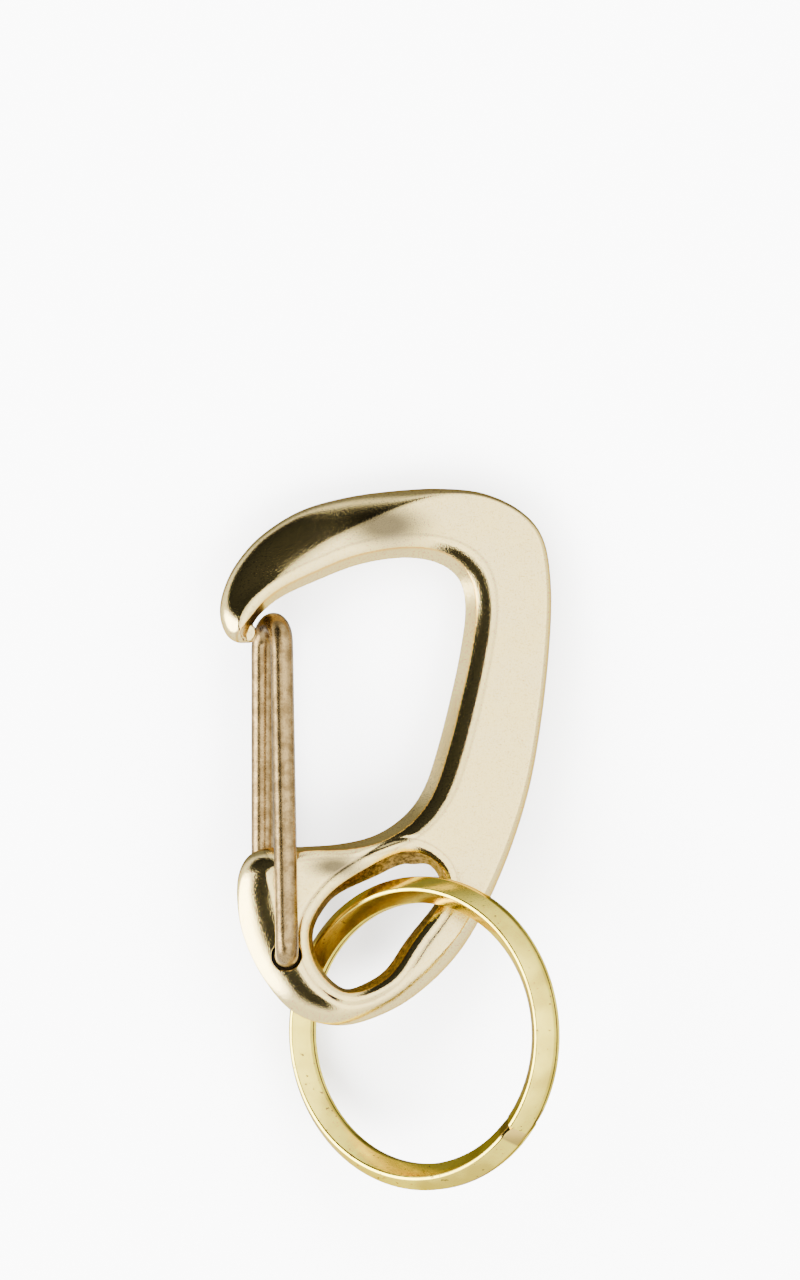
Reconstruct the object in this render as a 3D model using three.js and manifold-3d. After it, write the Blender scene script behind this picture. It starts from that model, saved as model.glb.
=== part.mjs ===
// Wire-gate carabiner key holder with a split ring, lying on a flat surface at z = 0.
// Millimetres, +Z up, +Y towards the hook end. Three pieces: the cast body, the bent
// wire gate and the two-turn ring.

import * as THREE from "three";
import { mergeVertices } from "three/addons/utils/BufferGeometryUtils.js";
import Module from "manifold-3d";

const wasm = await Module();
wasm.setup();

// ---- carabiner body (drawn flat, its mid-plane at z = 0) ----
const BODY_HALF = 2.3; // half of the casting's thickness
const OUTLINE_STEP = 0.8; // spacing of the points along the outline
const EDGE_STEPS = 5; // facets of each rounded edge
const EYE_EDGE = [1.3, 1.35]; // rounding of the eye's rim: inset, depth
const TONGUE_HALF = 0.8; // half thickness of the latch tongue on the nose
const TONGUE_STEP = 0.4; // spacing of the points along the tongue
const CUT_REACH = 1; // how far a cutting body stands past the face it cuts

// ---- wire gate ----
const WIRE_R = 1.15; // gate wire radius
const LEG_CLEARANCE = 0.6; // between the wire and the body's face at the pivots
const LEG_Z = BODY_HALF + WIRE_R + LEG_CLEARANCE; // height of the legs over the mid-plane there
const BEND_R = 1.5; // radius of the bend into each pivot hole
const HOOK_HALF = 2.3; // half of the U bend's width
const HOOK_FRONT = [-10.7, 19.1]; // where the front and back legs enter the U bend
const HOOK_BACK = [-12.45, 19.1];
const PIVOT_FRONT = [-10.15, -12.0];
const PIVOT_BACK = [-12.35, -7.1];
const FRONT_LEAN = -0.02; // sideways lean of the front leg above its bend
const END_Z = 0.75; // how deep the wire ends reach, from the mid-plane
const END_STRAIGHT = 0.6; // straight length at each wire end
const HOLE_R = 1.45; // pivot hole radius
const HOLE_FLOOR = 0.35; // bottom of the pivot holes, from the mid-plane
const HOLE_SIDES = 20;
const SLOT_STEPS = 8; // steps round each arc of the back pivot hole
const GATE_OPEN = 24; // degrees of opening travel
const WIRE_SIDES = 14;
const WIRE_STEPS = 110; // steps along the whole wire
const BEND_STEPS = 5;
const LEG_STEPS = 10;
const HOOK_STEPS = 10;

// ---- split ring ----
const RING_IN = 12.95; // radii of the ring
const RING_RIDGE = [14.18, 14.53]; // flat of the ridge on each face
const RING_OUT = 15.6;
const RING_HALF = 2.0; // half of the ring's thickness, over both turns
const RING_RIM = 0.5; // half height of the blunt inner and outer rims
const TURN_GAP = 0.05; // half of the gap between the turns
const SPLIT_AT = -28; // degrees, where the front turn is at full thickness
const CROSS = 16; // degrees of ring over which the wire changes level
const RING_STEP = 3; // degrees
const CROSS_STEPS = 8; // steps over the change of level
const TAPER_STEPS = 5; // steps of the crossing covered by each tapered wire end

// ---- how the pieces lie ----
const BODY_PITCH = -5; // the eye end is propped up by the ring under it
const BODY_ROLL = 3;
const BODY_AT = [0, 0, 5.782];
const RING_TILT = -32.3;
const RING_AT = [3.5, -19.45, 9.455];
const ORIGIN = [-0.06, -0.05, 0]; // moves the origin to the middle of the footprint

const METAL = {
  body: { color: 0xd9cba0, roughness: 0.28, metalness: 1 },
  gate: { color: 0x9c8657, roughness: 0.42, metalness: 1 },
  ring: { color: 0xd8c777, roughness: 0.22, metalness: 1 },
};

const RAD = Math.PI / 180;
const MERGE = 1e-5; // points closer than this are one point
const LOOP_FINE = 24; // points between two knots before a loop is resampled

// Outline knots: x, y, then the inset and depth of the edge rounding there.
const NOSE_AND_ARM = [
  [-13.85, 19.9, 0.8, 1.7],
  [-15.0, 19.5, 0.85, 1.8],
  [-16.25, 20.4, 1.0, 1.9],
  [-16.85, 22.6, 1.5, 2.1],
  [-16.35, 25.2, 1.8, 2.1],
  [-15.0, 27.8, 2.2, 2.1],
  [-12.6, 30.45, 2.5, 2.1],
  [-8.75, 32.9, 2.6, 2.0],
  [-4.0, 34.3, 2.3, 1.8],
  [1.0, 35.0, 1.8, 1.5],
];
const SPINE = [
  [5.35, 35.2, 1.2, 1.1],
  [9.6, 34.75, 0.9, 0.9],
  [13.35, 33.0, 0.8, 0.8],
  [15.6, 30.3, 0.8, 0.8],
  [16.4, 26.0, 0.8, 0.8],
  [16.35, 20.5, 0.8, 0.8],
  [15.6, 13.0, 0.8, 0.8],
  [14.4, 5.8, 0.8, 0.8],
  [12.65, -0.25, 0.9, 0.9],
  [10.3, -6.0, 1.1, 1.0],
];
const LOBE = [
  [7.6, -10.9, 1.4, 1.4],
  [4.2, -14.65, 1.8, 1.8],
  [0.2, -17.4, 2.0, 2.0],
  [-4.6, -18.85, 2.1, 2.1],
  [-9.1, -17.7, 2.2, 2.1],
  [-12.3, -14.3, 2.3, 2.1],
  [-14.5, -9.6, 2.3, 2.1],
  [-15.05, -5.0, 2.2, 2.1],
  [-14.2, -2.2, 2.0, 2.0],
  [-12.2, -1.15, 1.7, 1.8],
];
const OPENING = [
  [-8.6, -0.95, 1.4, 1.6],
  [-4.8, -0.65, 1.5, 1.6],
  [-1.25, 0.25, 1.8, 1.7],
  [1.7, 2.25, 2.2, 1.8],
  [3.65, 5.0, 2.5, 1.8],
  [5.0, 9.0, 2.7, 1.8],
  [6.25, 13.9, 2.8, 1.8],
  [7.25, 18.6, 2.8, 1.8],
  [7.8, 23.0, 2.6, 1.8],
  [7.2, 26.0, 2.2, 1.7],
  [5.0, 27.7, 1.7, 1.6],
  [1.5, 28.2, 1.4, 1.6],
  [-3.0, 27.45, 1.4, 1.6],
  [-7.2, 25.8, 1.3, 1.7],
  [-10.6, 24.2, 1.2, 1.8],
  [-12.75, 22.45, 1.1, 1.8],
  [-13.6, 21.15, 0.9, 1.8],
];
const EYE = [
  [-2.15, -3.6],
  [1.9, -1.85],
  [4.85, -3.4],
  [5.05, -6.1],
  [2.35, -10.05],
  [-0.3, -13.8],
  [-3.9, -15.25],
  [-6.65, -13.0],
  [-7.4, -9.4],
  [-5.4, -6.0],
];
const TONGUE = [
  [-15.2, 22.0],
  [-13.5, 21.2],
  [-13.15, 20.6],
  [-13.25, 20.0],
  [-13.8, 19.55],
  [-15.2, 19.9],
];

// ---- helpers ----

// A smooth closed run through the knots, resampled evenly; every column is blended alike.
function smoothLoop(knots, step) {
  const n = knots.length;
  const at = (i, u) => {
    const [p0, p1, p2, p3] = [-1, 0, 1, 2].map((k) => knots[(i + k + n) % n]);
    return p1.map((v, c) => {
      const [a, b, d, e] = [p0[c], v, p2[c], p3[c]];
      const m1 = (d - a) / 2;
      const m2 = (e - b) / 2;
      const [u2, u3] = [u * u, u * u * u];
      return (2 * u3 - 3 * u2 + 1) * b + (u3 - 2 * u2 + u) * m1 + (3 * u2 - 2 * u3) * d + (u3 - u2) * m2;
    });
  };
  const fine = [];
  for (let i = 0; i < n; i++) for (let k = 0; k < LOOP_FINE; k++) fine.push(at(i, k / LOOP_FINE));
  const run = [0];
  for (let i = 1; i <= fine.length; i++) {
    const [a, b] = [fine[i - 1], fine[i % fine.length]];
    run.push(run[i - 1] + Math.hypot(b[0] - a[0], b[1] - a[1]));
  }
  const total = run[fine.length];
  const count = Math.round(total / step);
  const out = [];
  let j = 0;
  for (let k = 0; k < count; k++) {
    const s = (k * total) / count;
    while (run[j + 1] < s) j++;
    const t = (s - run[j]) / (run[j + 1] - run[j]);
    const [a, b] = [fine[j], fine[(j + 1) % fine.length]];
    out.push(a.map((v, c) => v + t * (b[c] - v)));
  }
  return out;
}

const signedArea = (loop) =>
  loop.reduce((s, p, i) => {
    const q = loop[(i + 1) % loop.length];
    return s + (p[0] * q[1] - q[0] * p[1]) / 2;
  }, 0);

// The loop turned counter-clockwise.
const counterClockwise = (loop) => (signedArea(loop) > 0 ? loop : loop.slice().reverse());

// Unit normals of a counter-clockwise loop, pointing out of it.
function outward(loop) {
  const n = loop.length;
  return loop.map((_, i) => {
    const [a, b] = [loop[(i + n - 1) % n], loop[(i + 1) % n]];
    const d = Math.hypot(b[0] - a[0], b[1] - a[1]);
    return [(b[1] - a[1]) / d, -(b[0] - a[0]) / d];
  });
}

// A closed body skinned over loops of equal count, lowest first, with flat end caps.
function skin(loops) {
  const n = loops[0].length;
  const pos = loops.flat(2);
  const index = [];
  for (let k = 0; k + 1 < loops.length; k++) {
    for (let i = 0; i < n; i++) {
      const j = (i + 1) % n;
      const [a, b, c, d] = [k * n + i, k * n + j, (k + 1) * n + j, (k + 1) * n + i];
      index.push(a, b, c, a, c, d);
    }
  }
  const cap = (k, facing) => {
    const flat = loops[k].map((p) => new THREE.Vector2(p[0], p[1]));
    for (const [a, b, c] of THREE.ShapeUtils.triangulateShape(flat, [])) {
      const turn = signedArea([a, b, c].map((i) => flat[i].toArray())) * facing;
      const o = k * n;
      if (turn > 0) index.push(o + a, o + b, o + c);
      else index.push(o + c, o + b, o + a);
    }
  };
  cap(0, -1);
  cap(loops.length - 1, 1);
  const g = new THREE.BufferGeometry();
  g.setAttribute("position", new THREE.Float32BufferAttribute(pos, 3));
  g.setIndex(index);
  return g;
}

// A plate with edges rounded by the inset and depth of each outline point. With sign +1
// the loop is the outside of a plate; with sign -1 it is a hole whose mouth flares.
function roundedPlate(loop, half, sign, reach) {
  const normal = outward(loop);
  const loops = [];
  const level = (k, side) => {
    const turn = (k / EDGE_STEPS) * 90 * RAD;
    return loop.map((p, i) => {
      const inset = p[2] * (1 - Math.cos(turn)) * sign;
      const z = half - p[3] * (1 - Math.sin(turn));
      return [p[0] - normal[i][0] * inset, p[1] - normal[i][1] * inset, side * z];
    });
  };
  for (let k = EDGE_STEPS; k >= 0; k--) loops.push(level(k, -1));
  for (let k = 0; k <= EDGE_STEPS; k++) loops.push(level(k, 1));
  if (reach) {
    loops.unshift(loops[0].map(([x, y]) => [x, y, -half - reach]));
    loops.push(loops[loops.length - 1].map(([x, y]) => [x, y, half + reach]));
  }
  return skin(loops);
}

function solid(geometry) {
  const g = geometry.clone();
  g.deleteAttribute("normal");
  g.deleteAttribute("uv");
  const m = mergeVertices(g, MERGE);
  return new wasm.Manifold(
    new wasm.Mesh({
      numProp: 3,
      vertProperties: Float32Array.from(m.attributes.position.array),
      triVerts: Uint32Array.from(m.index.array),
    })
  );
}

function geometryOf(manifold) {
  const m = manifold.getMesh();
  const g = new THREE.BufferGeometry();
  g.setAttribute("position", new THREE.Float32BufferAttribute(m.vertProperties, 3));
  g.setIndex(Array.from(m.triVerts));
  return g;
}

// A round wire along a smooth path of points.
class Polyline3 extends THREE.Curve {
  constructor(points) {
    super();
    this.path = new THREE.CatmullRomCurve3(points, false, "centripetal");
  }
  getPoint(t, target = new THREE.Vector3()) {
    return this.path.getPointAt(t, target);
  }
}

function circleShape(r, sides) {
  const shape = new THREE.Shape();
  for (let i = 0; i < sides; i++) {
    const a = (i / sides) * 2 * Math.PI;
    if (i) shape.lineTo(r * Math.cos(a), r * Math.sin(a));
    else shape.moveTo(r, 0);
  }
  return shape;
}

// ---- the cast body ----

function bodyGeometry() {
  const outline = counterClockwise(
    smoothLoop([...NOSE_AND_ARM, ...SPINE, ...LOBE, ...OPENING], OUTLINE_STEP)
  );
  let body = solid(roundedPlate(outline, BODY_HALF, 1, 0));

  const eye = counterClockwise(smoothLoop(EYE, OUTLINE_STEP)).map(([x, y]) => [x, y, ...EYE_EDGE]);
  body = body.subtract(solid(roundedPlate(eye, BODY_HALF, -1, CUT_REACH)));

  const tongue = counterClockwise(smoothLoop(TONGUE, TONGUE_STEP));
  const tongueGeometry = skin([-1, 1].map((s) => tongue.map(([x, y]) => [x, y, s * TONGUE_HALF])));
  body = body.add(solid(tongueGeometry));

  // the front pivot hole, round
  const depth = BODY_HALF - HOLE_FLOOR + CUT_REACH;
  const front = new THREE.CylinderGeometry(HOLE_R, HOLE_R, depth, HOLE_SIDES);
  front.rotateX(90 * RAD);
  front.translate(...PIVOT_FRONT, HOLE_FLOOR + depth / 2);
  body = body.subtract(solid(front));

  // the back pivot hole, drawn out along the arc that the wire end sweeps
  const dx = PIVOT_BACK[0] - PIVOT_FRONT[0];
  const dy = PIVOT_BACK[1] - PIVOT_FRONT[1];
  const arm = Math.hypot(dx, dy);
  const rest = Math.atan2(dy, dx);
  const slot = [];
  for (let k = 0; k <= SLOT_STEPS; k++) {
    const a = rest - (k / SLOT_STEPS) * GATE_OPEN * RAD;
    slot.push([(arm + HOLE_R) * Math.cos(a), (arm + HOLE_R) * Math.sin(a)]);
  }
  const end = rest - GATE_OPEN * RAD;
  for (let k = 1; k < SLOT_STEPS; k++) {
    const a = end - (k / SLOT_STEPS) * Math.PI;
    slot.push([arm * Math.cos(end) + HOLE_R * Math.cos(a), arm * Math.sin(end) + HOLE_R * Math.sin(a)]);
  }
  for (let k = SLOT_STEPS; k >= 0; k--) {
    const a = rest - (k / SLOT_STEPS) * GATE_OPEN * RAD;
    slot.push([(arm - HOLE_R) * Math.cos(a), (arm - HOLE_R) * Math.sin(a)]);
  }
  for (let k = 1; k < SLOT_STEPS; k++) {
    const a = rest + Math.PI - (k / SLOT_STEPS) * Math.PI;
    slot.push([arm * Math.cos(rest) + HOLE_R * Math.cos(a), arm * Math.sin(rest) + HOLE_R * Math.sin(a)]);
  }
  const slotLoop = counterClockwise(slot).map(([x, y]) => [x + PIVOT_FRONT[0], y + PIVOT_FRONT[1]]);
  const slotGeometry = skin([-BODY_HALF - CUT_REACH, -HOLE_FLOOR].map((z) => slotLoop.map(([x, y]) => [x, y, z])));
  body = body.subtract(solid(slotGeometry));
  return geometryOf(body);
}

// ---- the gate wire ----

function gateGeometry() {
  const topF = new THREE.Vector3(...HOOK_FRONT, HOOK_HALF);
  const topB = new THREE.Vector3(...HOOK_BACK, -HOOK_HALF);
  const pts = [];
  // the wire rises out of its hole and turns along the body, leaning sideways a little
  const bendIn = ([x, y], side, lean) => {
    const run = [END_Z, END_Z + END_STRAIGHT].map((z) => new THREE.Vector3(x, y, side * z));
    for (let k = 0; k <= BEND_STEPS; k++) {
      const a = (k / BEND_STEPS) * 90 * RAD;
      const out = BEND_R * (1 - Math.cos(a));
      const up = BEND_R * Math.sin(a);
      run.push(new THREE.Vector3(x + lean * out, y + out, side * (LEG_Z - BEND_R + up)));
    }
    return run;
  };
  const leg = (from, to) => {
    const run = [];
    for (let k = 1; k < LEG_STEPS; k++) run.push(new THREE.Vector3().lerpVectors(from, to, k / LEG_STEPS));
    return run;
  };
  const front = bendIn(PIVOT_FRONT, 1, FRONT_LEAN);
  const back = bendIn(PIVOT_BACK, -1, 0);
  pts.push(...front, ...leg(front[front.length - 1], topF), topF);
  const mid = new THREE.Vector3().addVectors(topF, topB).multiplyScalar(0.5);
  const arm = new THREE.Vector3().subVectors(topF, mid);
  for (let k = 1; k < HOOK_STEPS; k++) {
    const a = (k / HOOK_STEPS) * 180 * RAD;
    pts.push(
      mid.clone().addScaledVector(arm, Math.cos(a)).add(new THREE.Vector3(0, HOOK_HALF * Math.sin(a), 0))
    );
  }
  pts.push(topB, ...leg(topB, back[back.length - 1]), ...back.reverse());
  const path = new Polyline3(pts);
  return new THREE.ExtrudeGeometry(circleShape(WIRE_R, WIRE_SIDES), {
    steps: WIRE_STEPS,
    bevelEnabled: false,
    extrudePath: path,
  });
}

// ---- the two-turn ring ----

// Heights of the rims and of the ridge on the wire's front and back, at a share t of the
// way from the front turn to the back one.
const mix = (a, b, t) => a + (b - a) * t;
const frontAt = (t) => [mix(RING_RIM, -TURN_GAP, t), mix(RING_HALF, -TURN_GAP, t)];
const backAt = (t) => [mix(TURN_GAP, -RING_RIM, t), mix(TURN_GAP, -RING_HALF, t)];
const raised = (heights, by) => heights.map((h) => h + by);

// Section of the wire, as radius and height: blunt rims with a ridge between them.
function ringSection(front, back) {
  return [
    [RING_IN, back[0]],
    [RING_RIDGE[0], back[1]],
    [RING_RIDGE[1], back[1]],
    [RING_OUT, back[0]],
    [RING_OUT, front[0]],
    [RING_RIDGE[1], front[1]],
    [RING_RIDGE[0], front[1]],
    [RING_IN, front[0]],
  ];
}

// The wire runs round the front, changes level, and runs round the back. Each end is
// tapered to lie on the slope of the crossing, a turn's gap away from it.
function ringGeometry() {
  const rings = [];
  const add = (angle, section) => {
    const [c, s] = [Math.cos(angle * RAD), Math.sin(angle * RAD)];
    rings.push(section.map(([r, h]) => [r * c, r * s, h]));
  };
  const slope = (k) => (1 - Math.cos((k / CROSS_STEPS) * Math.PI)) / 2;
  const crossed = (k) => SPLIT_AT - CROSS + (k / CROSS_STEPS) * CROSS;
  for (let k = CROSS_STEPS - TAPER_STEPS; k < CROSS_STEPS; k++) {
    add(crossed(k), ringSection(frontAt(0), raised(frontAt(slope(k)), 2 * TURN_GAP)));
  }
  for (let a = SPLIT_AT; a < SPLIT_AT + 360 - CROSS; a += RING_STEP) {
    add(a, ringSection(frontAt(0), backAt(0)));
  }
  for (let k = 0; k <= CROSS_STEPS; k++) {
    add(crossed(k) + 360, ringSection(frontAt(slope(k)), backAt(slope(k))));
  }
  for (let a = SPLIT_AT + 360 + RING_STEP; a < SPLIT_AT + 720 - CROSS; a += RING_STEP) {
    add(a, ringSection(frontAt(1), backAt(1)));
  }
  for (let k = 0; k <= TAPER_STEPS; k++) {
    add(crossed(k) + 720, ringSection(raised(backAt(slope(k)), -2 * TURN_GAP), backAt(1)));
  }
  const n = rings[0].length;
  const index = [];
  for (let k = 0; k + 1 < rings.length; k++) {
    for (let i = 0; i < n; i++) {
      const j = (i + 1) % n;
      const [a, b, c, d] = [k * n + i, k * n + j, (k + 1) * n + j, (k + 1) * n + i];
      index.push(a, c, b, a, d, c);
    }
  }
  const flat = ringSection(frontAt(0), backAt(0)).map(([r, h]) => new THREE.Vector2(r, h));
  const last = (rings.length - 1) * n;
  for (const [a, b, c] of THREE.ShapeUtils.triangulateShape(flat, [])) {
    index.push(a, b, c);
    index.push(last + c, last + b, last + a);
  }
  const g = new THREE.BufferGeometry();
  g.setAttribute("position", new THREE.Float32BufferAttribute(rings.flat(2), 3));
  g.setIndex(index);
  return g;
}

// ---- assembly ----

function mesh(name, geometry, look) {
  const m = new THREE.Mesh(geometry, new THREE.MeshStandardMaterial(look));
  m.name = name;
  return m;
}

const carabiner = new THREE.Group();
carabiner.position.set(...BODY_AT);
carabiner.rotation.set(BODY_PITCH * RAD, BODY_ROLL * RAD, 0);
carabiner.add(mesh("body", bodyGeometry(), METAL.body));
carabiner.add(mesh("wire_gate", gateGeometry(), METAL.gate));

const ring = mesh("split_ring", ringGeometry(), METAL.ring);
ring.position.set(...RING_AT);
ring.rotation.set(0, RING_TILT * RAD, 0);

const root = new THREE.Group();
root.position.set(...ORIGIN);
root.add(carabiner, ring);
export default root;
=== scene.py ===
import math

import bmesh
import bpy
import numpy as np
import openvdb
from mathutils import Matrix, Vector


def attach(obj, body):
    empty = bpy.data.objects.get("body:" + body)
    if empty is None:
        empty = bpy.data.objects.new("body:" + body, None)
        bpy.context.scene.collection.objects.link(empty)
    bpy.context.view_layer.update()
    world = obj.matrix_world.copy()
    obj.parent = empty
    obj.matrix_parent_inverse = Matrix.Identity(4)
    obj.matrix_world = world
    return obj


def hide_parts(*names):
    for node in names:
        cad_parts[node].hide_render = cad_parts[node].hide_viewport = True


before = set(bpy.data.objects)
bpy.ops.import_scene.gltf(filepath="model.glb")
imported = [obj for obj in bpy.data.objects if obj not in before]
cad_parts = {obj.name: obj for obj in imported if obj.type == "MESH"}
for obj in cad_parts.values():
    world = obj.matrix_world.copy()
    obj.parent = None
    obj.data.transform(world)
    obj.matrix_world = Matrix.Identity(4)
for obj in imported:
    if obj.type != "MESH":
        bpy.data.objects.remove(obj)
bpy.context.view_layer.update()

MM = 0.001
RAD = math.pi / 180

# ------------------------------------------- dimensions, in mm and degrees
HALF = 2.3  # half of the casting's thickness
BEVEL = 0.42  # slope of the bevels round the openings
EYE_EDGE = (1.45, 0.5)  # the eye's bevel and its drafted wall, measured in from the edge
GROOVE = (1.6, 0.10, 0.28)  # ground line round the eye: distance from it, depth, width
TONGUE_HALF, TONGUE_ROUND = 0.8, 0.35  # latch tongue: half thickness and corner radius

# The eye's wall is thicker at the top and at the lower right. Extra wall, and the ranges
# over which it comes in: y and x for the top, x - y for the lower right.
EYE_TOP = (0.8, (-6.5, -3.5), (4.4, 2.2))
EYE_CORNER = (0.35, (10.8, 12.6))

# The lobe's edge is nearer a cone than the rest: change of exponent, start and length of
# the change in y, and the edge widths over which it comes in.
CONE = (0.85, -0.5, 9, 2.2, 2)

# widths over which the casting's surfaces blend into one another
OPENING_BLEND, RIM_BLEND, LATCH_BLEND, HOLE_BLEND = 0.14, 0.12, 0.25, 0.18

WIRE_R = 1.15
LEG_CLEARANCE = 0.6  # between a leg of the gate and the casting's face
LEG_Z = HALF + WIRE_R + LEG_CLEARANCE
BEND_R = 1.5  # bend between a leg and its end
HOOK_HALF = 2.3  # half of the width of the gate's U bend
HOOK_Y = 19.1  # where the legs meet the U bend
HOOK_X = (-10.7, -12.45)  # front leg and back leg there
FRONT_LEAN = -0.02  # sideways lean of the front leg's end, per unit of its reach
PIVOT_FRONT = (-10.15, -12.0)
PIVOT_BACK = (-12.35, -7.1)
END_Z = 0.75  # height of the wire ends inside the casting
END_STRAIGHT = 0.6  # straight run of a wire end before its bend
WIRE_EDGE = 0.35  # rounding of the wire ends
HOLE_R = 1.42
HOLE_FLOOR = 0.35
GATE_OPEN = 24

RING_IN, RING_OUT = 12.95, 15.6
RING_RIDGE = (14.18, 14.53)  # flat of the ridge on each face
RING_HALF = 2.0  # half of the ring's thickness, over both turns
RING_RIM = 0.5  # half height of the blunt rims
RING_ROUND = 0.10  # rounding of the wire's corners
TURN_GAP = 0.05  # half of the gap between the turns
SPLIT_AT = -28  # where the front turn is at full thickness
CROSS = 16  # degrees of ring over which the wire changes level
CROSS_AT = SPLIT_AT + 360 - CROSS
TAPER = 0.375  # share of the crossing that each tapered wire end leaves uncovered
SHARP = 38  # the ring's faces meet in an edge above this angle

PITCH, ROLL = -5, 3
BODY_AT = (0, 0, 5.782)
RING_TILT = -32.3
RING_AT = (3.5, -19.45, 9.455)
ORIGIN = (-0.06, -0.05, 0)

# ------------------------------------------- how finely things are worked out
VOXEL = 0.13
SETTLES = 2
PROBE = 0.02  # step for slopes of the casting's field
LOOP_STEP = 0.1
KNOT_STEPS = 40
CHUNK = 8000  # points worked on at a time
GRID = 0.2
X0, X1, Y0, Y1 = -19.0, 18.8, -21.0, 37.2  # extent of the plan grid
MARGIN = 1.2  # the field is worked out this far outside the outline
EDGE_SCALE, FACE_SCALE = 1.2, 0.8  # make the parts of the field nearly true distances
BODY_X, BODY_Y = (-17.6, 17.3), (-19.6, 36.0)  # extent of the voxel grid
RELAX_OUTLINE, RELAX_EYE, RELAX_TONGUE, BLUR_WIDTHS = 24, 20, 3, 60
WIRE_STEPS, WIRE_SIDES, LEG_STEPS, BEND_STEPS, SPAN_STEPS = 420, 36, 10, 5, 16
RING_STEP, CROSS_STEPS, TAPER_STEPS, CORNER_STEPS = 1.0, 18, 12, 3

TO_ROW = Matrix.Translation(ORIGIN)
BODY_M = (
    TO_ROW
    @ Matrix.Translation(BODY_AT)
    @ Matrix.Rotation(PITCH * RAD, 4, "X")
    @ Matrix.Rotation(ROLL * RAD, 4, "Y")
)
RING_M = TO_ROW @ Matrix.Translation(RING_AT) @ Matrix.Rotation(RING_TILT * RAD, 4, "Y")

# ------------------------------------------- outlines, in mm
# outer run of the outline: x, y, width of the edge form and its exponent
OUTER = [
    (-13.85, 19.9, 1.5, 1.9),
    (-15.0, 19.5, 1.8, 1.8),
    (-16.25, 20.4, 2.4, 1.6),
    (-16.85, 22.6, 3.4, 1.35),
    (-16.35, 25.2, 4.3, 1.2),
    (-15.0, 27.8, 4.9, 1.15),
    (-12.6, 30.45, 5.2, 1.15),
    (-8.75, 32.9, 4.9, 1.15),
    (-4.0, 34.3, 3.8, 1.2),
    (1.0, 35.0, 2.2, 1.4),
    (5.35, 35.2, 1.2, 1.9),
    (9.6, 34.75, 0.9, 2.0),
    (13.35, 33.0, 0.8, 2.0),
    (15.6, 30.3, 0.8, 2.0),
    (16.4, 26.0, 0.8, 2.0),
    (16.35, 20.5, 0.8, 2.0),
    (15.6, 13.0, 0.8, 2.0),
    (14.4, 5.8, 0.8, 2.0),
    (12.65, -0.25, 0.9, 2.0),
    (10.3, -6.0, 1.1, 2.0),
    (7.6, -10.9, 1.7, 1.9),
    (4.2, -14.65, 2.4, 1.8),
    (0.2, -17.4, 2.9, 1.7),
    (-4.6, -18.85, 3.2, 1.6),
    (-9.1, -17.7, 3.8, 1.55),
    (-12.3, -14.3, 4.2, 1.5),
    (-14.5, -9.6, 4.4, 1.5),
    (-15.05, -5.0, 4.2, 1.5),
    (-14.2, -2.2, 3.6, 1.55),
    (-12.2, -1.15, 2.6, 1.7),
]
# inner run: the lower edge of the opening, its sides and top, and the latch notch, with
# the distance in to the crease and the width of the drafted wall
INNER = [
    (-8.6, -0.95, 1.5, 0.6),
    (-4.8, -0.65, 1.7, 0.8),
    (-1.25, 0.25, 2.1, 1.0),
    (1.7, 2.25, 2.7, 1.1),
    (3.65, 5.0, 3.0, 1.1),
    (5.0, 9.0, 3.1, 1.1),
    (6.25, 13.9, 3.1, 1.1),
    (7.25, 18.6, 3.1, 1.1),
    (7.8, 23.0, 3.1, 1.1),
    (7.2, 26.0, 3.0, 1.0),
    (5.0, 27.7, 2.4, 1.0),
    (1.5, 28.2, 2.0, 0.8),
    (-3.0, 27.45, 1.9, 0.75),
    (-7.2, 25.8, 1.8, 0.7),
    (-10.6, 24.2, 1.6, 0.6),
    (-12.75, 22.45, 1.4, 0.5),
    (-13.6, 21.15, 1.2, 0.4),
]
JOINS = ((-13.8, 20.2), (-10.4, -1.05))  # where the two runs meet
EYE = [
    (-2.15, -3.6),
    (1.9, -1.85),
    (4.85, -3.4),
    (5.05, -6.1),
    (2.35, -10.05),
    (-0.3, -13.8),
    (-3.9, -15.25),
    (-6.65, -13.0),
    (-7.4, -9.4),
    (-5.4, -6.0),
]
TONGUE = [
    (-15.2, 22.0),
    (-13.5, 21.2),
    (-13.15, 20.6),
    (-13.25, 20.0),
    (-13.8, 19.55),
    (-15.2, 19.9),
]


# ------------------------------------------- curves and fields
def smooth_loop(knots, step):
    """A closed smooth run through the knots, evenly spaced, all columns blended."""
    k = np.array(knots, float)
    n = len(k)
    u = np.linspace(0, 1, KNOT_STEPS, endpoint=False)[:, None]
    h00, h10 = 2 * u**3 - 3 * u**2 + 1, u**3 - 2 * u**2 + u
    h01, h11 = 3 * u**2 - 2 * u**3, u**3 - u**2
    runs = []
    for i in range(n):
        a, b, c, d = k[i - 1], k[i], k[(i + 1) % n], k[(i + 2) % n]
        runs.append(h00 * b + h10 * (c - a) / 2 + h01 * c + h11 * (d - b) / 2)
    f = np.concatenate(runs)
    closed = np.vstack([f, f[:1]])
    seg = np.hypot(*(closed[1:, :2] - closed[:-1, :2]).T)
    run = np.concatenate([[0], np.cumsum(seg)])
    m = int(round(run[-1] / step))
    s = np.linspace(0, run[-1], m, endpoint=False)
    return np.stack([np.interp(s, run, closed[:, c]) for c in range(k.shape[1])], 1)


def relax(loop, passes):
    """Evens out the curvature of a closed loop."""
    out = loop.copy()
    for _ in range(passes):
        out = 0.5 * out + 0.25 * (np.roll(out, 1, 0) + np.roll(out, -1, 0))
    return out


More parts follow.
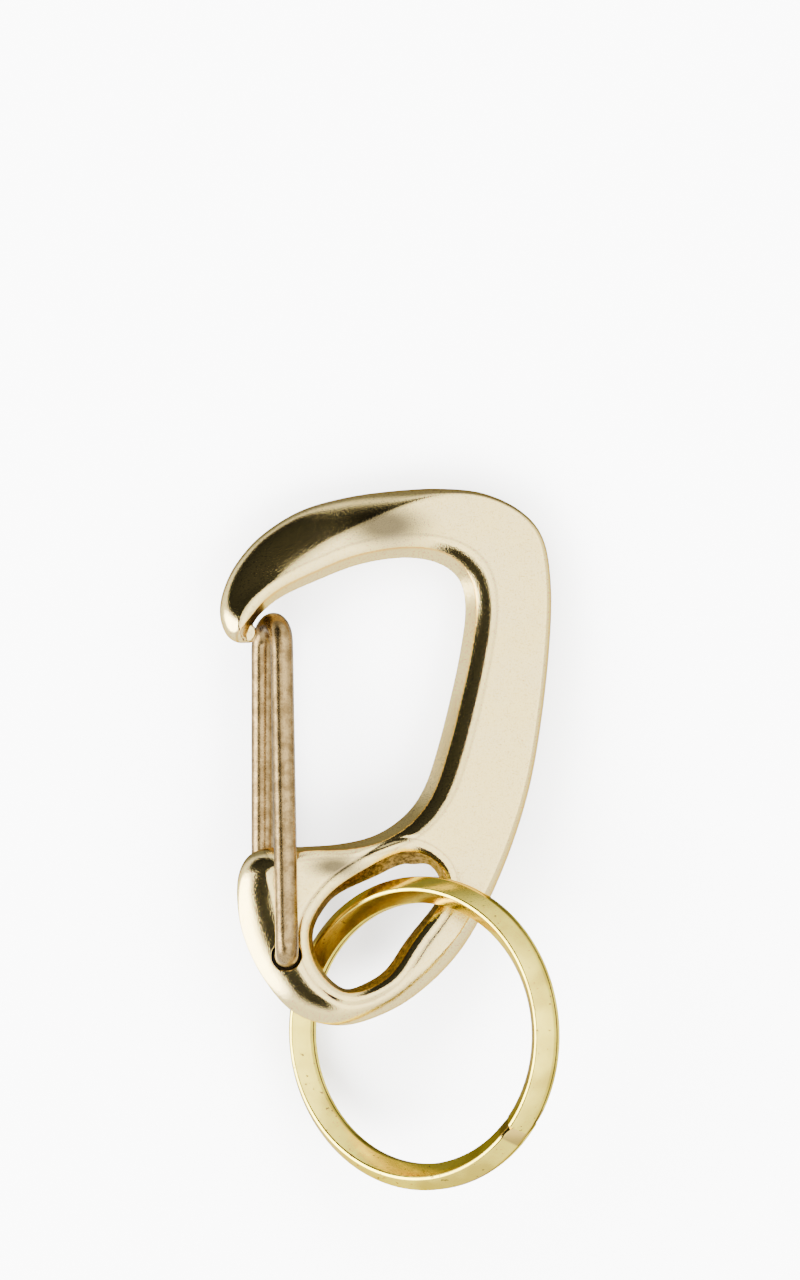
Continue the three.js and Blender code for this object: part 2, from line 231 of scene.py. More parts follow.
def distance(points, loop, closed=True):
    """Distance from each point to a run, and the run's other columns at the nearest place."""
    a = loop if closed else loop[:-1]
    b = np.roll(loop, -1, 0) if closed else loop[1:]
    d = b[:, :2] - a[:, :2]
    dd = (d**2).sum(1)
    best = np.full(len(points), 1e9)
    extra = np.zeros((len(points), loop.shape[1] - 2))
    for s in range(0, len(points), CHUNK):
        p = points[s : s + CHUNK]
        # nearest vertex first, then the two segments that meet there
        v2 = (p**2).sum(1)[:, None] - 2 * p @ loop[:, :2].T + (loop[:, :2] ** 2).sum(1)[None]
        j = v2.argmin(1)
        r = np.full(len(p), 1e9)
        e = np.zeros((len(p), loop.shape[1] - 2))
        for off in (-1, 0):
            i = (j + off) % len(loop) if closed else np.clip(j + off, 0, len(a) - 1)
            rel = p - a[i, :2]
            t = np.clip((rel * d[i]).sum(1) / dd[i], 0, 1)
            q = np.hypot(*(rel - t[:, None] * d[i]).T)
            near = q < r
            r = np.where(near, q, r)
            w = t[:, None]
            e = np.where(near[:, None], a[i, 2:] * (1 - w) + b[i, 2:] * w, e)
        best[s : s + CHUNK], extra[s : s + CHUNK] = r, e
    return best, extra


def inside(points, loop):
    """True inside a closed loop, by the crossing count."""
    a, b = loop[:, :2], np.roll(loop[:, :2], -1, 0)
    out = np.zeros(len(points), bool)
    for s in range(0, len(points), CHUNK):
        p = points[s : s + CHUNK]
        cond = (a[None, :, 1] > p[:, None, 1]) != (b[None, :, 1] > p[:, None, 1])
        with np.errstate(divide="ignore", invalid="ignore"):
            xi = a[:, 0] + (p[:, None, 1] - a[:, 1]) * (b[:, 0] - a[:, 0]) / (b[:, 1] - a[:, 1])
        out[s : s + CHUNK] = (cond & (p[:, None, 0] < xi)).sum(1) % 2 == 1
    return out


outline = relax(smooth_loop(OUTER + INNER, LOOP_STEP), RELAX_OUTLINE)
eye = relax(smooth_loop(EYE, LOOP_STEP), RELAX_EYE)
tongue = relax(smooth_loop(TONGUE, LOOP_STEP), RELAX_TONGUE)

grid_x = np.arange(X0, X1, GRID)
grid_y = np.arange(Y0, Y1, GRID)
grid_shape = (len(grid_x), len(grid_y))
grid_points = np.stack(np.meshgrid(grid_x, grid_y, indexing="ij"), -1).reshape(-1, 2)


def blur(a, passes):
    """Spreads each cell of a grid over its neighbours."""
    for _ in range(passes):
        p = np.pad(a, ((1, 1), (1, 1)), mode="edge")
        a = (p[:-2, 1:-1] + p[2:, 1:-1] + p[1:-1, :-2] + p[1:-1, 2:]) / 8 + p[1:-1, 1:-1] / 2
    return a


def grid_fields():
    """Signed distances (positive in metal) and edge widths on the plan grid."""

    def nearest(place):
        return int(np.hypot(outline[:, 0] - place[0], outline[:, 1] - place[1]).argmin())

    start, end = nearest(JOINS[0]), nearest(JOINS[1])
    turned = np.roll(outline, -start, 0)
    cut = (end - start) % len(outline)
    outer, inner = turned[: cut + 1], np.vstack([turned[cut:], turned[:1]])
    d_outer, c_outer = distance(grid_points, outer, False)
    d_inner, c_inner = distance(grid_points, inner, False)
    d_eye = distance(grid_points, eye)[0]
    d_tongue = distance(grid_points, tongue)[0]
    within = inside(grid_points, outline)
    fields = {
        "outer": np.where(within | (d_inner < d_outer), d_outer, -d_outer),
        "inner": np.where(within | (d_outer <= d_inner), d_inner, -d_inner),
        "eye": d_eye * np.where(inside(grid_points, eye), -1, 1),
        "tongue": d_tongue * np.where(inside(grid_points, tongue), 1, -1),
        "all": np.minimum(d_outer, d_inner) * np.where(within, 1, -1),
    }
    fields = {name: values.reshape(grid_shape) for name, values in fields.items()}
    widths = {
        "edge_width": c_outer[:, 0],
        "edge_power": c_outer[:, 1],
        "crease_at": c_inner[:, 0],
        "wall_at": c_inner[:, 1],
    }
    for name, values in widths.items():
        fields[name] = blur(values.reshape(grid_shape), BLUR_WIDTHS)
    return fields


FIELDS = grid_fields()


def rise(v, start, end):
    """0 at the start of a range and 1 at its end, with a smooth step between."""
    t = np.clip((v - start) / (end - start), 0, 1)
    return t * t * (3 - 2 * t)


def plan(p):
    """Smooth (cubic) values of every plan field at points of the plan."""
    x = np.clip((p[:, 0] - X0) / GRID, 1, grid_shape[0] - 3)
    y = np.clip((p[:, 1] - Y0) / GRID, 1, grid_shape[1] - 3)
    i, j = x.astype(int), y.astype(int)

    def weights(t):
        return (
            -0.5 * t + t * t - 0.5 * t**3,
            1 - 2.5 * t * t + 1.5 * t**3,
            0.5 * t + 2 * t * t - 1.5 * t**3,
            -0.5 * t * t + 0.5 * t**3,
        )

    wx, wy = weights(x - i), weights(y - j)
    out = {name: np.zeros(len(p)) for name in FIELDS}
    for a in range(4):
        for b in range(4):
            w = wx[a] * wy[b]
            for name, field in FIELDS.items():
                out[name] += w * field[i + a - 1, j + b - 1]
    x, y = p[:, 0], p[:, 1]
    out["x"], out["y"] = x, y
    top, top_y, top_x = EYE_TOP
    corner, corner_range = EYE_CORNER
    out["eye_more"] = top * rise(y, *top_y) * rise(x, *top_x) + corner * rise(x - y, *corner_range)
    return out


def smax(a, b, k):
    """The larger of two fields, blended over a width k."""
    h = np.clip(0.5 + 0.5 * (a - b) / k, 0, 1)
    return b * (1 - h) + a * h + k * h * (1 - h)


def lip(d, crease, wall, top):
    """Height of a drafted wall and the bevel above it, at a distance in from the edge."""
    run = crease - wall
    s = np.clip((crease - d) / run, 0, 1)
    bevel = top - BEVEL * run * (0.35 * s + 0.65 * s * s)
    edge = top - BEVEL * run
    return np.where(d < wall, edge * d / wall, bevel)


def pivot_cuts(f, z):
    """The two pivot holes: the back one is an arc slot that clears the gate's travel."""
    dx, dy = f["x"] - PIVOT_FRONT[0], f["y"] - PIVOT_FRONT[1]
    hole = np.maximum(np.hypot(dx, dy) - HOLE_R, HOLE_FLOOR - z)
    arm = PIVOT_BACK[0] - PIVOT_FRONT[0], PIVOT_BACK[1] - PIVOT_FRONT[1]
    reach, rest = math.hypot(*arm), math.atan2(arm[1], arm[0])
    near = np.clip(np.arctan2(dy, dx), rest - GATE_OPEN * RAD, rest)
    slot = np.hypot(dx - reach * np.cos(near), dy - reach * np.sin(near)) - HOLE_R
    return hole, np.maximum(slot, HOLE_FLOOR + z)


def body_field(f, z):
    """Negative inside the casting. f holds the plan values at each point."""
    az = np.abs(z)
    groove_at, groove_depth, groove_width = GROOVE
    top = HALF - groove_depth * np.exp(-(((f["eye"] - groove_at) / groove_width) ** 2))
    # rounded outer edge
    edge = np.abs(1 - np.clip(f["outer"] / f["edge_width"], -0.6, 1)) ** f["edge_power"]
    power, low_y, low_run, wide_from, wide_run = CONE
    low = np.clip((low_y - f["y"]) / low_run, 0, 1)
    low = low * low * (3 - 2 * low) * np.clip((f["edge_width"] - wide_from) / wide_run, 0, 1)
    field = ((az / top) ** (2 - power * low) + edge - 1) * EDGE_SCALE
    # drafted walls and bevels of the opening and of the eye
    opening = lip(f["inner"], f["crease_at"], f["wall_at"], top)
    field = smax(field, FACE_SCALE * (az - opening), OPENING_BLEND)
    more = f["eye_more"]
    rim = lip(f["eye"] + more, EYE_EDGE[0] + more, EYE_EDGE[1] + 0.8 * more, top)
    field = smax(field, FACE_SCALE * (az - rim), RIM_BLEND)
    # latch tongue
    side, front = az - TONGUE_HALF + TONGUE_ROUND, -f["tongue"] + TONGUE_ROUND
    corner = np.hypot(np.maximum(side, 0), np.maximum(front, 0))
    latch = corner + np.minimum(np.maximum(side, front), 0) - TONGUE_ROUND
    h = np.clip(0.5 + 0.5 * (field - latch) / LATCH_BLEND, 0, 1)
    field = field * (1 - h) + latch * h - LATCH_BLEND * h * (1 - h)
    # pivot holes, slightly eased at the mouth
    for cut in pivot_cuts(f, z):
        field = smax(field, -cut, HOLE_BLEND)
    return field


# ------------------------------------------- meshes
def new_object(name, verts, faces, matrix, normals=None):
    """A smooth mesh object from vertices in mm, placed by a matrix in mm."""
    me = bpy.data.meshes.new(name)
    M = np.array(matrix)
    v = np.asarray(verts, float)
    v = (v @ M[:3, :3].T + M[:3, 3]) * MM
    me.vertices.add(len(v))
    me.vertices.foreach_set("co", v.astype(np.float32).ravel())
    faces = np.asarray(faces, np.int32)
    k = faces.shape[1]
    me.loops.add(faces.size)
    me.loops.foreach_set("vertex_index", faces.ravel())
    me.polygons.add(len(faces))
    me.polygons.foreach_set("loop_start", np.arange(0, faces.size, k, dtype=np.int32))
    me.polygons.foreach_set("loop_total", np.full(len(faces), k, np.int32))
    me.update(calc_edges=True)
    me.validate()
    me.polygons.foreach_set("use_smooth", np.full(len(me.polygons), True))
    if normals is not None:
        turned = np.asarray(normals) @ M[:3, :3].T
        me.normals_split_custom_set_from_vertices(turned.astype(np.float32))
    o = bpy.data.objects.new(name, me)
    bpy.context.scene.collection.objects.link(o)
    return o


def new_wire(name, rows, matrix):
    """A closed object from the sections along a wire, each a loop of points."""
    k, v = len(rows[0]), np.vstack(rows)
    faces = []
    for i in range(len(rows) - 1):
        for j in range(k):
            m = (j + 1) % k
            faces.append((i * k + j, (i + 1) * k + j, (i + 1) * k + m, i * k + m))
    o = new_object(name, v, faces, matrix)
    bm = bmesh.new()
    bm.from_mesh(o.data)
    bmesh.ops.holes_fill(bm, edges=[e for e in bm.edges if e.is_boundary], sides=0)
    bmesh.ops.recalc_face_normals(bm, faces=bm.faces)
    bm.to_mesh(o.data)
    bm.free()
    return o


def add_attribute(o, name, values):
    a = o.data.attributes.new(name, "FLOAT", "POINT")
    a.data.foreach_set("value", np.asarray(values, np.float32))


# ------------------------------------------- casting
def body_volume():
    """Quads on the casting's surface, from its field on a grid of voxels."""
    h = VOXEL
    xs = np.arange(*BODY_X, h)
    ys = np.arange(*BODY_Y, h)
    zs = np.arange(-HALF - 3 * h, HALF + 3.5 * h, h)
    p = np.stack(np.meshgrid(xs, ys, indexing="ij"), -1).reshape(-1, 2)
    f = plan(p)
    keep = (f["all"] > -MARGIN) | (f["tongue"] > -MARGIN)
    values = np.full((len(p), len(zs)), 1.0, np.float32)
    near = {name: v[keep][:, None] for name, v in f.items()}
    values[keep] = np.clip(body_field(near, zs[None, :]), -1, 1)
    grid = openvdb.FloatGrid()
    grid.background = 1.0
    grid.copyFromArray(values.reshape(len(xs), len(ys), len(zs)))
    points, quads = grid.convertToQuads()
    return points.astype(float) * h + np.array([xs[0], ys[0], zs[0]]), quads


def build_body():
    def at(p):
        return body_field(plan(p[:, :2]), p[:, 2])

    def gradient(p):
        out = np.empty_like(p)
        for c in range(3):
            s = np.zeros(3)
            s[c] = PROBE
            out[:, c] = (at(p + s) - at(p - s)) / (2 * PROBE)
        return out

    v, quads = body_volume()
    # settle each vertex on the true surface and take the true normal
    for _ in range(SETTLES):
        value, slope = at(v), gradient(v)
        steep = (slope**2).sum(1)
        move = -(value / np.maximum(steep, 0.05))[:, None] * slope
        length = np.linalg.norm(move, axis=1)
        move *= np.minimum(1, 0.6 * VOXEL / np.maximum(length, 1e-9))[:, None]
        v = v + move
    slope = gradient(v)
    n = slope / np.maximum(np.linalg.norm(slope, axis=1), 1e-9)[:, None]
    face = np.cross(v[quads[:, 1]] - v[quads[:, 0]], v[quads[:, 2]] - v[quads[:, 0]])
    if (face * n[quads[:, 0]]).sum() < 0:
        quads = quads[:, ::-1].copy()
    o = new_object("casting", v, quads, BODY_M, n)
    f = plan(v[:, :2])
    eye_wall = f["eye"] + 0.2 * f["eye_more"] - EYE_EDGE[1]
    # distance to where the walls meet the bevels, for the painted reflection there
    lip_reflection_line = np.minimum(np.abs(f["inner"] - f["wall_at"]), np.abs(eye_wall))
    add_attribute(o, "eye_wall", eye_wall)
    add_attribute(o, "eye_rim", f["eye"])
    add_attribute(o, "crease", f["inner"] - f["crease_at"])
    add_attribute(o, "lip", lip_reflection_line)
    add_attribute(o, "lx", v[:, 0])
    add_attribute(o, "ly", v[:, 1])
    add_attribute(o, "nz", n[:, 2])
    return o


casting = build_body()
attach(casting, "carabiner")
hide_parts("body")


# ------------------------------------------- gate wire
def wire_end(place, side, lean):
    """Points up a wire end in its hole and round the bend to where its leg starts."""
    x, y = place
    run = [(x, y, side * END_Z), (x, y, side * (END_Z + END_STRAIGHT))]
    for k in range(BEND_STEPS + 1):
        a = k / BEND_STEPS * math.pi / 2
        out, up = BEND_R * (1 - math.cos(a)), BEND_R * math.sin(a)
        run.append((x + lean * out, y + out, side * (LEG_Z - BEND_R + up)))
    return run


def spline(points, count):
    """Evenly spaced points on a centripetal curve through the given ones."""
    p = np.array(points, float)
    ext = np.vstack([2 * p[0] - p[1], p, 2 * p[-1] - p[-2]])
    out = []
    for i in range(len(p) - 1):
        p0, p1, p2, p3 = ext[i : i + 4]
        t0 = 0
        t1 = t0 + max(np.linalg.norm(p1 - p0), 1e-6) ** 0.5
        t2 = t1 + max(np.linalg.norm(p2 - p1), 1e-6) ** 0.5
        t3 = t2 + max(np.linalg.norm(p3 - p2), 1e-6) ** 0.5
        t = np.linspace(t1, t2, SPAN_STEPS, endpoint=False)[:, None]
        a1 = (t1 - t) / (t1 - t0) * p0 + (t - t0) / (t1 - t0) * p1
        a2 = (t2 - t) / (t2 - t1) * p1 + (t - t1) / (t2 - t1) * p2
        a3 = (t3 - t) / (t3 - t2) * p2 + (t - t2) / (t3 - t2) * p3
        b1 = (t2 - t) / (t2 - t0) * a1 + (t - t0) / (t2 - t0) * a2
        b2 = (t3 - t) / (t3 - t1) * a2 + (t - t1) / (t3 - t1) * a3
        out.append((t2 - t) / (t2 - t1) * b1 + (t - t1) / (t2 - t1) * b2)
    out.append(p[-1:])
    out = np.vstack(out)
    run = np.concatenate([[0], np.cumsum(np.linalg.norm(np.diff(out, axis=0), axis=1))])
    s = np.linspace(0, run[-1], count)
    return np.stack([np.interp(s, run, out[:, c]) for c in range(3)], 1), s


def tube_rows(path, radii, sides):
    """Circles of points round a path, turned by a frame carried along it."""
    t = np.gradient(path, axis=0)
    t /= np.linalg.norm(t, axis=1)[:, None]
    n = np.cross(t[0], [0.3, 0.9, 0.1])
    n /= np.linalg.norm(n)
    a = np.linspace(0, 2 * np.pi, sides, endpoint=False)
    rows = []
    for i in range(len(path)):
        n = n - t[i] * n.dot(t[i])
        n /= np.linalg.norm(n)
        b = np.cross(t[i], n)
        rows.append(path[i] + (np.cos(a)[:, None] * n + np.sin(a)[:, None] * b) * radii[i])
    return rows


def build_gate():
    top_f = np.array([HOOK_X[0], HOOK_Y, HOOK_HALF])
    top_b = np.array([HOOK_X[1], HOOK_Y, -HOOK_HALF])
    front = wire_end(PIVOT_FRONT, 1, FRONT_LEAN)
    back = wire_end(PIVOT_BACK, -1, 0)
    start, end = np.array(front[-1]), np.array(back[-1])
    shares = [k / LEG_STEPS for k in range(1, LEG_STEPS)]
    leg_f = [start * (1 - u) + top_f * u for u in shares]
    leg_b = [top_b * (1 - u) + end * u for u in shares]
    mid, arm = (top_f + top_b) / 2, (top_f - top_b) / 2
    bend = [
        mid + arm * math.cos(u * math.pi) + np.array([0, HOOK_HALF * math.sin(u * math.pi), 0])
        for u in shares
    ]
    points = front + leg_f + [top_f] + bend + [top_b] + leg_b + back[::-1]
    path, s = spline(points, WIRE_STEPS)
    from_end = np.minimum(s, s[-1] - s)
    inset = np.maximum(WIRE_EDGE - from_end, 0)
    radii = WIRE_R - WIRE_EDGE + np.sqrt(np.maximum(WIRE_EDGE**2 - inset**2, 0))
    return new_wire("gate_wire", tube_rows(path, radii, WIRE_SIDES), BODY_M)


gate = build_gate()
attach(gate, "gate")
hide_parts("wire_gate")


# ------------------------------------------- split ring
def between(a, b, t):
    return a + (b - a) * t


def front_at(t):
    """Heights of the wire's front, at rim and ridge, a share t of the way to the back."""
    return between(RING_RIM, -TURN_GAP, t), between(RING_HALF, -TURN_GAP, t)


def back_at(t):
    """The same for the wire's back."""
    return between(TURN_GAP, -RING_RIM, t), between(TURN_GAP, -RING_HALF, t)


def moved(heights, by):
    return tuple(h + by for h in heights)


def ring_section(front, back):
    """Section of the wire as radius and height: blunt rims with a ridge between them."""
    return np.array(
        [
            (RING_IN, back[0]),
            (RING_RIDGE[0], back[1]),
            (RING_RIDGE[1], back[1]),
            (RING_OUT, back[0]),
            (RING_OUT, front[0]),
            (RING_RIDGE[1], front[1]),
            (RING_RIDGE[0], front[1]),
            (RING_IN, front[0]),
        ]
    )


def rounded(section, radius, steps):
    """The section with each corner replaced by a small arc."""
    out = []
    n = len(section)
    for i in range(n):
        a, b, c = section[i - 1], section[i], section[(i + 1) % n]
        u, v = a - b, c - b
        lu, lv = np.linalg.norm(u), np.linalg.norm(v)
        r = min(radius, 0.45 * lu, 0.45 * lv)
        p, q = b + u / lu * r, b + v / lv * r
        for k in range(steps + 1):
            t = k / steps
            out.append(p * (1 - t) ** 2 + 2 * b * t * (1 - t) + q * t**2)
    return np.array(out)


def build_ring():
    """Two turns with a change of level between, each end tapered onto that slope."""

    def slope(u):
        return (1 - math.cos(u * math.pi)) / 2

    runs = []
    for u in np.linspace(TAPER, 1, TAPER_STEPS)[:-1]:
        lower = moved(front_at(slope(u)), 2 * TURN_GAP)
        runs.append((SPLIT_AT - CROSS + u * CROSS, front_at(0), lower))
    for a in np.arange(SPLIT_AT, CROSS_AT, RING_STEP):
        runs.append((a, front_at(0), back_at(0)))
    for u in np.linspace(0, 1, CROSS_STEPS):
        runs.append((CROSS_AT + u * CROSS, front_at(slope(u)), back_at(slope(u))))
    for a in np.arange(SPLIT_AT + 360 + RING_STEP, CROSS_AT + 360, RING_STEP):
        runs.append((a, front_at(1), back_at(1)))
    for u in np.linspace(0, 1 - TAPER, TAPER_STEPS):
        upper = moved(back_at(slope(u)), -2 * TURN_GAP)
        runs.append((CROSS_AT + 360 + u * CROSS, upper, back_at(1)))

    rows = []
    for a, front, back in runs:
        section = rounded(ring_section(front, back), RING_ROUND, CORNER_STEPS)
        c, s = math.cos(a * RAD), math.sin(a * RAD)
        rows.append(np.stack([section[:, 0] * c, section[:, 0] * s, section[:, 1]], 1))
    o = new_wire("ring_coil", rows, RING_M)
    add_attribute(o, "turn", np.repeat([a for a, front, back in runs], len(rows[0])))
    add_attribute(o, "height", np.vstack(rows)[:, 2])
    o.data.set_sharp_from_angle(angle=SHARP * RAD)
    return o


ring = build_ring()
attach(ring, "ring")
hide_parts("split_ring")


# ------------------------------------------- colours, linear
BRASS, BRASS_WORN = (0.93, 0.725, 0.27), (0.90, 0.71, 0.30)
BRASS_EDGE_TINT = (0.80, 0.62, 0.32)  # what the metal mirrors at a glancing angle
BRASS_SPECK = (0.40, 0.28, 0.12)
# painted reflection along the line where the drafted walls meet the bevels
BRASS_LIP_REFLECTION = (0.95, 0.58, 0.10)
# painted dark reflection, in two soft clouds on the front flats
BRASS_DARK_REFLECTION = (0.075, 0.058, 0.032)
# painted shade along the opening's crease and in the ground line round the eye
BRASS_CREASE_SHADE = (0.20, 0.15, 0.08)
BRASS_GROOVE_SHADE = (0.35, 0.25, 0.12)
SKIN_DARK, SKIN_LIGHT = (0.07, 0.040, 0.012), (0.42, 0.27, 0.09)
# painted shade in the pivot holes
HOLE_SHADE = (0.012, 0.008, 0.004)
WIRE_DARK, WIRE_LIGHT, WIRE_SPECK = (0.20, 0.13, 0.048), (0.36, 0.245, 0.10), (0.12, 0.07, 0.025)
RING_LIGHT, RING_WORN = (0.93, 0.76, 0.11), (0.80, 0.64, 0.09)
RING_EDGE_TINT = (0.85, 0.68, 0.34)
RING_SPECK, RING_OLIVE, RING_FLECK = (0.30, 0.20, 0.04), (0.50, 0.37, 0.05), (0.12, 0.07, 0.02)
# painted shade on the crossing slope and along the seam between the turns
RING_CROSSING_SHADE, SEAM_SHADE = (0.42, 0.30, 0.07), (0.03, 0.02, 0.008)
PAPER = (0.93, 0.93, 0.935), (0.94, 0.94, 0.94)

# places on the casting: x, y and half extents in mm, and how far in the edge is soft
# where the dark reflection is painted on the front
DARK_REFLECTION_ARM = (-0.4, 31.2, 6.4, 3.2, 0.2)
DARK_REFLECTION_LOBE = (-5.4, -3.1, 4.0, 1.7, 0.15)
NOTCH = (-13.2, 21.6, 2.1, 2.1, 0.5)
HOLE_RIM = (1.54, 1.54, 0.97)

# depth of the grain, in metres
BRASS_GRAIN, WIRE_GRAIN, RING_GRAIN = 0.000014, 0.00001, 0.000010


# ------------------------------------------- materials
class Tree:
    """Short names for building a node material."""

    def __init__(self, name):
        self.mat = bpy.data.materials.new(name)
        self.mat.use_nodes = True
        self.t = self.mat.node_tree
        self.t.nodes.clear()
        self.out = self.t.nodes.new("ShaderNodeOutputMaterial")
        self.shader = self.t.nodes.new("ShaderNodeBsdfPrincipled")
        self.t.links.new(self.shader.outputs[0], self.out.inputs[0])
        self.shader.inputs["Metallic"].default_value = 1.0
        place = self.t.nodes.new("ShaderNodeTexCoord")
        scale = self.t.nodes.new("ShaderNodeVectorMath")
        scale.operation = "SCALE"
        scale.inputs["Scale"].default_value = 1 / MM
        self.t.links.new(place.outputs["Object"], scale.inputs[0])
        self.mm = scale.outputs[0]

    def put(self, socket, value):
        if hasattr(value, "is_output"):
            self.t.links.new(value, socket)
        else:
            socket.default_value = value

    def edge_tint(self, color):
        self.shader.inputs["Specular Tint"].default_value = (*color, 1)

    def noise(self, scale, detail, rough):
        n = self.t.nodes.new("ShaderNodeTexNoise")
        n.inputs["Scale"].default_value = scale
        n.inputs["Detail"].default_value = detail
        n.inputs["Roughness"].default_value = rough
        self.t.links.new(self.mm, n.inputs["Vector"])
        return n.outputs["Fac"]

    def math(self, op, a, b=0.0, clamp=False):
        n = self.t.nodes.new("ShaderNodeMath")
        n.operation = op
        n.use_clamp = clamp
        self.put(n.inputs[0], a)
        self.put(n.inputs[1], b)
        return n.outputs[0]

    def times(self, a, b):
        return self.math("MULTIPLY", a, b)

    def size(self, a):
        return self.math("ABSOLUTE", a)

    def ramp(self, value, lo, hi, out_lo=0.0, out_hi=1.0):
        """A smooth step of a value from out_lo at lo to out_hi at hi."""
        n = self.t.nodes.new("ShaderNodeMapRange")
        n.interpolation_type = "SMOOTHSTEP"
        n.clamp = True
        for i, v in enumerate((value, lo, hi, out_lo, out_hi)):
            self.put(n.inputs[i], v)
        return n.outputs[0]

    def mix(self, fac, a, b):
        n = self.t.nodes.new("ShaderNodeMix")
        n.data_type = "RGBA"
        self.put(n.inputs[0], fac)
        for s, v in ((n.inputs[6], a), (n.inputs[7], b)):
            if isinstance(v, tuple):
                s.default_value = (*v, 1)
            else:
                self.t.links.new(v, s)
        return n.outputs[2]

    def attr(self, name):
        n = self.t.nodes.new("ShaderNodeAttribute")
        n.attribute_name = name
        return n.outputs["Fac"]

    def bump(self, height, distance, strength):
        n = self.t.nodes.new("ShaderNodeBump")
        n.inputs["Strength"].default_value = strength
        n.inputs["Distance"].default_value = distance
        self.t.links.new(height, n.inputs["Height"])
        return n.outputs[0]

    def finish(self, color, rough, normal=None):
        self.put(self.shader.inputs["Base Color"], color)
        self.put(self.shader.inputs["Roughness"], rough)
        if normal:
            self.t.links.new(normal, self.shader.inputs["Normal"])
        return self.mat


def polished_brass():
    m = Tree("polished_brass")
    m.edge_tint(BRASS_EDGE_TINT)
    eye_wall, eye_rim = m.attr("eye_wall"), m.attr("eye_rim")
    lip_reflection_line, crease = m.attr("lip"), m.attr("crease")
    lx, ly, side = m.attr("lx"), m.attr("ly"), m.attr("nz")
    facing = m.size(side)

    def spot_at(x, y, half_x, half_y, soft):
        """1 at a place on the plan, falling to 0 at its edge."""
        dx = m.math("DIVIDE", m.math("SUBTRACT", lx, x), half_x)
        dy = m.math("DIVIDE", m.math("SUBTRACT", ly, y), half_y)
        r = m.math("SQRT", m.math("ADD", m.times(dx, dx), m.times(dy, dy)))
        return m.ramp(r, 1.0, soft)

    # the wide flats are satin, the rounded edges are polished
    flat = m.ramp(facing, 0.965, 0.998)
    grain = m.noise(8.0, 1.0, 0.5)
    speck = m.noise(7.0, 2.0, 0.6)
    cloud = m.noise(0.22, 3.0, 0.55)
    tone = m.mix(m.ramp(cloud, 0.35, 0.7), BRASS, BRASS_WORN)
    tone = m.mix(m.ramp(speck, 0.52, 0.70, 0, 0.75), tone, BRASS_SPECK)
    # painted reflection: a warm line where the drafted walls meet the bevels
    tone = m.mix(m.ramp(lip_reflection_line, 0.16, 0.04, 0, 0.7), tone, BRASS_LIP_REFLECTION)
    # painted dark reflection: two soft clouds on the front
    dark_reflection = m.math("MAXIMUM", spot_at(*DARK_REFLECTION_ARM), spot_at(*DARK_REFLECTION_LOBE))
    dark_reflection = m.times(dark_reflection, m.ramp(side, 0.2, 0.6, 0, 0.93))
    tone = m.mix(dark_reflection, tone, BRASS_DARK_REFLECTION)
    # painted shade along the opening's crease and in the ground line beside the eye's rim
    tone = m.mix(m.ramp(m.size(crease), 0.22, 0.04, 0, 0.35), tone, BRASS_CREASE_SHADE)
    from_groove = m.size(m.math("SUBTRACT", eye_rim, GROOVE[0]))
    tone = m.mix(m.ramp(from_groove, 0.16, 0.02, 0, 0.5), tone, BRASS_GROOVE_SHADE)
    # brown cast skin on the eye's wall and in the latch notch
    wall = m.times(m.ramp(eye_wall, 0.08, -0.06), m.ramp(facing, 0.9, 0.7))
    notch = m.times(spot_at(*NOTCH), m.ramp(facing, 0.85, 0.4))
    skin = m.math("MAXIMUM", wall, notch)
    patch = m.noise(2.6, 4.0, 0.75)
    brown = m.mix(m.ramp(patch, 0.38, 0.62), SKIN_DARK, SKIN_LIGHT)
    tone = m.mix(m.times(skin, 0.95), tone, brown)
    # painted shade in the pivot holes
    front = m.times(spot_at(*PIVOT_FRONT, *HOLE_RIM), m.ramp(side, -0.5, -0.3))
    back = m.times(spot_at(*PIVOT_BACK, *HOLE_RIM), m.ramp(side, 0.5, 0.3))
    tone = m.mix(m.math("MAXIMUM", front, back), tone, HOLE_SHADE)
    rough = m.ramp(flat, 0, 1, 0.09, 0.26)
    rough = m.math("ADD", rough, m.times(m.math("SUBTRACT", grain, 0.5), 0.10))
    rough = m.math("ADD", rough, m.times(skin, 0.25), clamp=True)
    height = m.math("ADD", grain, m.times(patch, m.times(skin, 2.0)))
    return m.finish(tone, rough, m.bump(height, BRASS_GRAIN, 0.8))


def aged_wire():
    m = Tree("aged_wire")
    mottle = m.noise(0.9, 3.0, 0.6)
    fine = m.noise(8.0, 3.0, 0.7)
    tone = m.mix(m.ramp(mottle, 0.36, 0.64), WIRE_DARK, WIRE_LIGHT)
    tone = m.mix(m.ramp(fine, 0.5, 0.7, 0, 0.65), tone, WIRE_SPECK)
    rough = m.ramp(fine, 0.3, 0.7, 0.20, 0.34)
    return m.finish(tone, rough, m.bump(fine, WIRE_GRAIN, 0.8))


